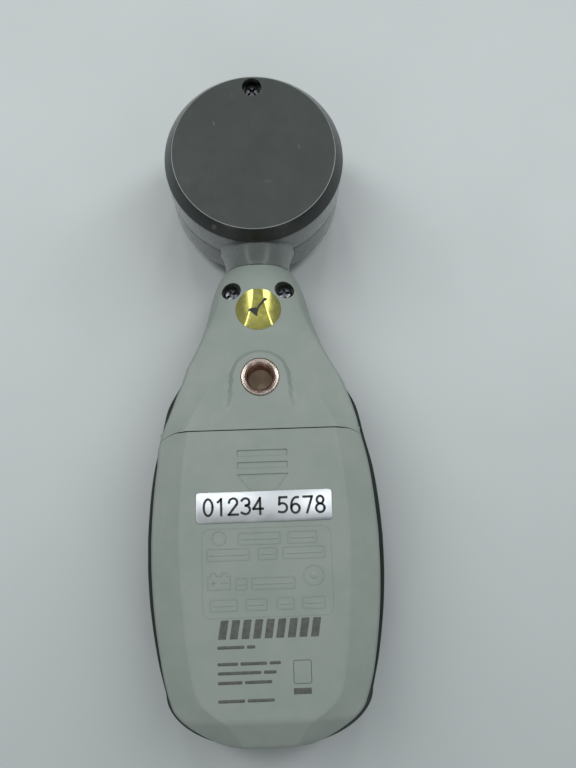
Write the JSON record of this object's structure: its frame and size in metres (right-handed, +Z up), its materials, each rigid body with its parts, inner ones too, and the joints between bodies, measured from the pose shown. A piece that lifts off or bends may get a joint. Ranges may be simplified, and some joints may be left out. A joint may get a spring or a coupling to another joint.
{
  "type": "handheld light meter",
  "caption": "Handheld light meter lying face down: waisted two-shell body with a sliding battery door, tripod bush, keys and display, and a round sensor head that swivels on its neck.",
  "frame": {"origin": "centre of the bounding box in X and Y, on the surface that the face-down meter rests on", "axes": "+Z up out of the rear face, +Y from the battery door to the sensor head, +X to the right as seen from behind"},
  "size_m": [0.058, 0.165, 0.032],
  "materials": {
    "light_grey_abs": "fine satin texture, light grey-green",
    "dark_grey_abs": "satin dark grey",
    "head_grey_abs": "smooth satin dark grey with glossy rubbed chamfer",
    "black_steel": "black oxide on steel",
    "bright_steel": "plain zinc-plated steel",
    "copper_nickel": "knurled pinkish nickel-plated brass",
    "gold_foil": "glossy gold foil",
    "silver_foil": "brushed silver foil",
    "clear_plastic": "clear acrylic",
    "lcd": "reflective display glass",
    "white_diffuser": "opal white",
    "black_plastic": "plain black",
    "rubber": "black rubber",
    "foam": "soft closed-cell foam",
    "key_rubber": "soft grey silicone",
    "circuit_board": "green solder mask",
    "red_wire": "red insulation",
    "cell_jacket": "printed steel jacket",
    "green_filter": "green colour-correcting filter",
    "silicon": "dark silicon under clear resin",
    "blue_part": "blue component body"
  },
  "bodies": {
    "meter": {"battery_9v": "cell_jacket", "battery_lead_black": "black_plastic", "battery_lead_red": "red_wire", "battery_snap": "black_plastic", "board_screw_1": "bright_steel", "board_screw_2": "bright_steel", "board_screw_3": "bright_steel", "case_screw_left": "black_steel", "case_screw_right": "black_steel", "contact_strip_lower": "rubber", "contact_strip_upper": "rubber", "filter_capacitor": "blue_part", "front_shell": "dark_grey_abs", "inspection_sticker": "gold_foil", "lcd_frame": "black_plastic", "lcd_panel": "lcd", "lcd_window": "clear_plastic", "lead_connector": "white_diffuser", "main_board": "circuit_board", "measuring_chip": "black_plastic", "neck_screw_left": "black_steel", "neck_screw_right": "black_steel", "range_trimmer": "blue_part", "rear_shell": "light_grey_abs", "reference_crystal": "bright_steel", "sensor_lead_body": "black_plastic", "snap_dome_hold": "bright_steel", "snap_dome_power": "bright_steel", "snap_dome_range": "bright_steel", "snap_dome_units": "bright_steel", "tripod_bush": "copper_nickel"},
    "head": {"head_rear_shell": "head_grey_abs", "head_front_shell": "head_grey_abs", "head_screw": "black_steel", "swivel_o_ring": "rubber", "diffuser_dome": "white_diffuser", "dome_retainer": "black_plastic", "filter_holder": "black_plastic", "correction_filter": "green_filter", "photodiode": "silicon", "sensor_board": "circuit_board", "sensor_board_screw_left": "bright_steel", "sensor_board_screw_right": "bright_steel", "sensor_lead_head": "black_plastic"},
    "door": {"battery_door": "light_grey_abs", "serial_label": "silver_foil", "battery_pad": "foam"},
    "key_power": {"key_power": "key_rubber"},
    "key_hold": {"key_hold": "key_rubber"},
    "key_range": {"key_range": "key_rubber"},
    "key_units": {"key_units": "key_rubber"}
  },
  "joints": [
    {"name": "head_swivel", "type": "hinge", "parent": "meter", "child": "head", "pos_m": [0, 0.027, 0.016], "axis": [0, 1, 0], "range_deg": [-90, 180]},
    {"name": "door_slide", "type": "slide", "parent": "meter", "child": "door", "axis": [0, -1, 0], "range_m": [0, 0.08]},
    {"name": "key_power_press", "type": "slide", "parent": "meter", "child": "key_power", "axis": [0, 0, 1], "range_m": [0, 0.0008], "stiffness_N_per_m": 600, "springref_m": -0.0008},
    {"name": "key_hold_press", "type": "slide", "parent": "meter", "child": "key_hold", "axis": [0, 0, 1], "range_m": [0, 0.0008], "stiffness_N_per_m": 600, "springref_m": -0.0008},
    {"name": "key_range_press", "type": "slide", "parent": "meter", "child": "key_range", "axis": [0, 0, 1], "range_m": [0, 0.0008], "stiffness_N_per_m": 600, "springref_m": -0.0008},
    {"name": "key_units_press", "type": "slide", "parent": "meter", "child": "key_units", "axis": [0, 0, 1], "range_m": [0, 0.0008], "stiffness_N_per_m": 600, "springref_m": -0.0008}
  ]
}
